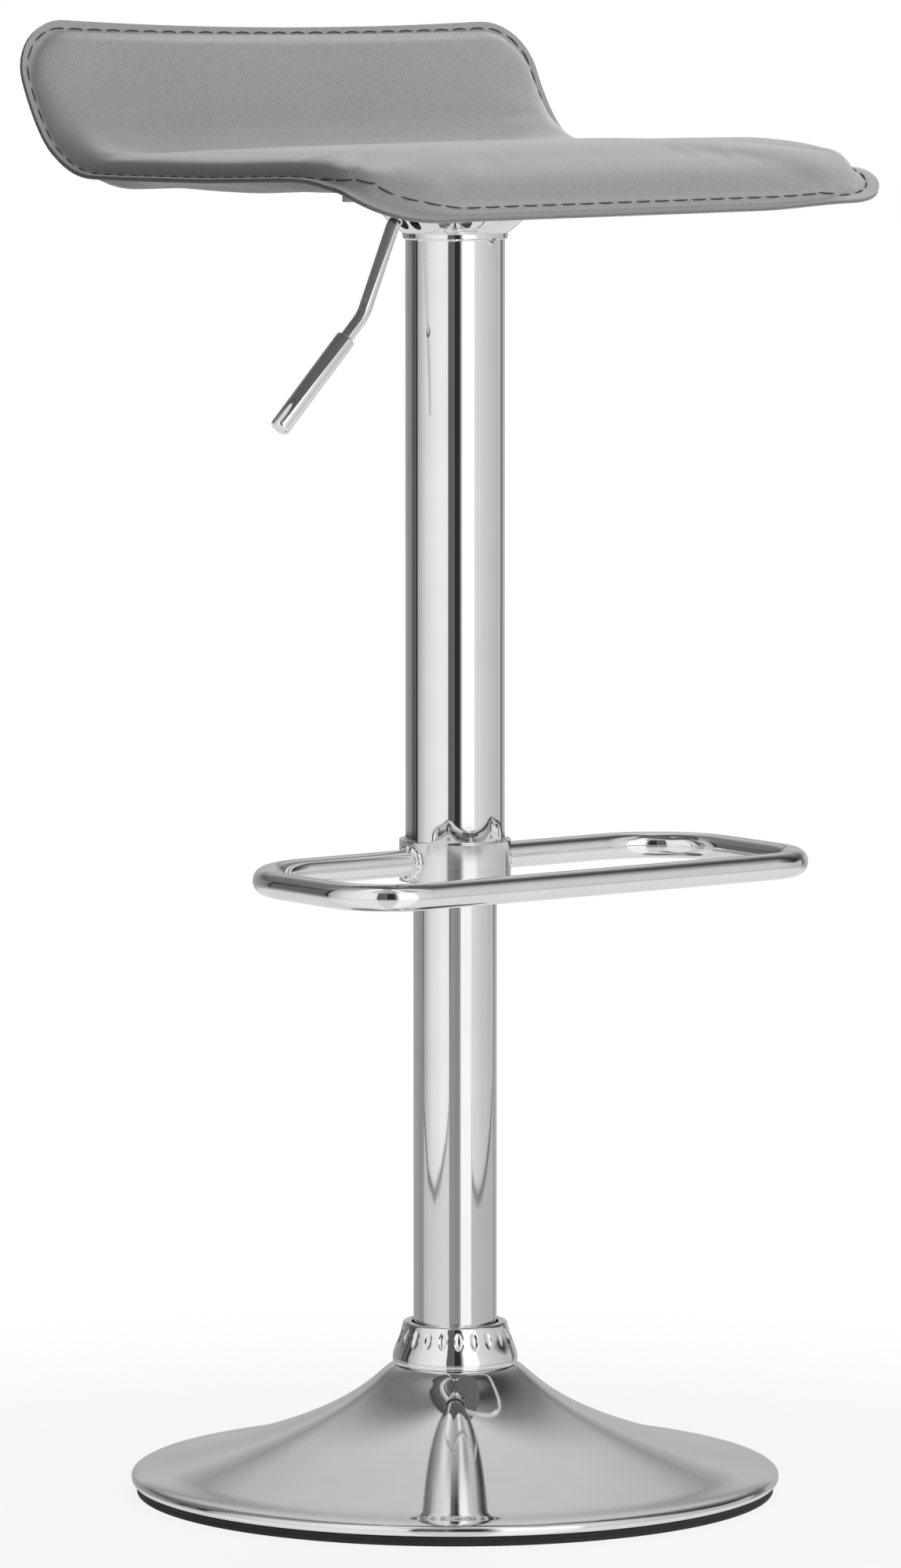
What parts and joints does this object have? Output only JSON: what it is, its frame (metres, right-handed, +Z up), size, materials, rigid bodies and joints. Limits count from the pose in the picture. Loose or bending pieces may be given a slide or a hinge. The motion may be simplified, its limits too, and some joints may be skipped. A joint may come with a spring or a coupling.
{
  "type": "swivel bar stool",
  "caption": "Swivel bar stool with a padded wavy leather seat, gas-lift chrome column with height lever, footrest loop and round trumpet base on a rubber ring",
  "frame": {"origin": "centre of the base on the floor", "axes": "+Z up along the column, the sitter faces -Y, the lever is on the sitter's right at -X"},
  "size_m": [0.39, 0.39, 0.8791],
  "materials": {
    "chrome": "mirror-polished chrome plating",
    "satin_chrome": "turned, satin chrome",
    "steel": "zinc-plated steel",
    "black_steel": "black paint, half matt",
    "rubber": "black rubber",
    "nylon": "black nylon",
    "leather": "fine-grained grey leather",
    "foam": "open-cell foam",
    "plywood": "bent plywood"
  },
  "bodies": {
    "base": {"base_dish": "chrome", "base_rubber_ring": "rubber", "trim_ring": "chrome", "column_tube": "chrome", "clamp_washer": "steel", "column_nut": "steel", "guide_bush": "nylon", "bearing_lower_race": "steel", "bearing_cage": "nylon", "bearing_ball_1": "steel", "bearing_ball_2": "steel", "bearing_ball_3": "steel", "bearing_ball_4": "steel", "bearing_ball_5": "steel", "bearing_ball_6": "steel"},
    "gas_rod": {"piston_rod": "chrome", "piston": "steel", "piston_seal": "rubber", "bearing_upper_race": "steel", "rubber_bumper": "rubber", "foot_washer": "steel", "retaining_clip": "steel"},
    "seat": {"pressure_tube": "black_steel", "rod_guide": "nylon", "rod_seal": "rubber", "seat_plate": "black_steel", "taper_socket": "black_steel", "lever_bracket": "black_steel", "lever_pivot_pin": "steel", "upper_cup": "chrome", "cover_sleeve": "chrome", "sleeve_glide_ring": "nylon", "footrest_collar": "satin_chrome", "footrest_loop": "chrome", "collar_set_screw": "black_steel", "seat_board": "plywood", "seat_foam": "foam", "seat_top_cover": "leather", "seat_bottom_cover": "leather", "seat_bolt_1": "steel", "seat_bolt_2": "steel", "seat_bolt_3": "steel", "seat_bolt_4": "steel", "bolt_washer_1": "steel", "bolt_washer_2": "steel", "bolt_washer_3": "steel", "bolt_washer_4": "steel", "tee_nut_1": "steel", "tee_nut_2": "steel", "tee_nut_3": "steel", "tee_nut_4": "steel"},
    "lever": {"lever_rod": "chrome", "lever_grip": "chrome"},
    "valve": {"valve_pin": "steel"}
  },
  "joints": [
    {"name": "seat_swivel", "type": "hinge", "parent": "base", "child": "gas_rod", "pos_m": [0, 0, 0.032], "axis": [0, 0, 1], "continuous": true},
    {"name": "seat_lift", "type": "slide", "parent": "gas_rod", "child": "seat", "axis": [0, 0, 1], "range_m": [-0.215, 0]},
    {"name": "lever_tilt", "type": "hinge", "parent": "seat", "child": "lever", "pos_m": [-0.025, 0, 0.768], "axis": [0, 1, 0], "range_deg": [0, 7], "stiffness_Nm_per_rad": 1.2},
    {"name": "valve_press", "type": "slide", "parent": "seat", "child": "valve", "axis": [0, 0, -1], "range_m": [0, 0.0033]}
  ],
  "couplings": [
    {"joint": "valve_press", "follows": "lever_tilt", "m_per_rad": 0.026}
  ]
}
